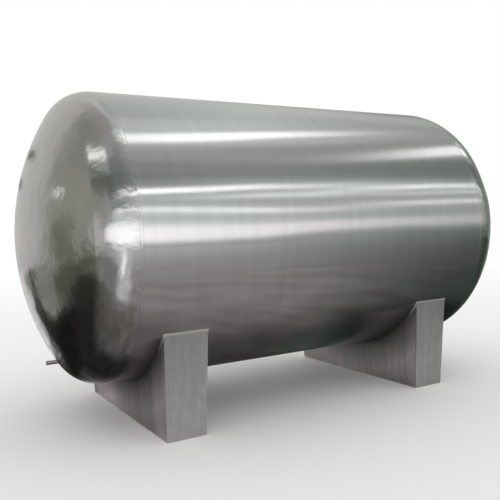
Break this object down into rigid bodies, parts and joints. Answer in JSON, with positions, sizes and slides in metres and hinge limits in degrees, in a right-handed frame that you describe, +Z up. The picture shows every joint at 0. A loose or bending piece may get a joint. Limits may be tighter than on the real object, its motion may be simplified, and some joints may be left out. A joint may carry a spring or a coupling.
{
  "type": "high-pressure tank",
  "caption": "Horizontal stainless pressure tank: brushed cylindrical shell, polished dished heads and a low drain pipe, on tapered box saddles.",
  "frame": {"origin": "on the floor, under the middle of the tank", "axes": "+X along the tank towards the plain head, so the head with the drain pipe is at -X; +Y to the back; +Z up"},
  "size_m": [2.6526, 1.4016, 1.5978],
  "materials": {
    "brushed_shell": "satin, brushed around the shell",
    "polished_head": "polished nearly to a mirror",
    "ground_weld": "ground and polished weld",
    "saddle_web": "bright rolled sheet",
    "saddle_end": "brushed upright",
    "fillet_weld": "cleaned weld bead",
    "drain_tube": "dull drawn tube"
  },
  "bodies": {
    "root": {"tank_shell": "brushed_shell", "left_head": "polished_head", "right_head": "polished_head", "left_seam_weld": "ground_weld", "right_seam_weld": "ground_weld", "left_saddle_base": "saddle_web", "left_saddle_outer_web": "saddle_web", "left_saddle_inner_web": "saddle_web", "left_saddle_front_plate": "saddle_end", "left_saddle_back_plate": "saddle_end", "left_saddle_outer_weld": "fillet_weld", "left_saddle_inner_weld": "fillet_weld", "left_saddle_front_weld": "fillet_weld", "left_saddle_back_weld": "fillet_weld", "right_saddle_base": "saddle_web", "right_saddle_outer_web": "saddle_web", "right_saddle_inner_web": "saddle_web", "right_saddle_front_plate": "saddle_end", "right_saddle_back_plate": "saddle_end", "right_saddle_outer_weld": "fillet_weld", "right_saddle_inner_weld": "fillet_weld", "right_saddle_front_weld": "fillet_weld", "right_saddle_back_weld": "fillet_weld", "drain_pipe": "drain_tube", "drain_weld": "fillet_weld"}
  },
  "joints": []
}
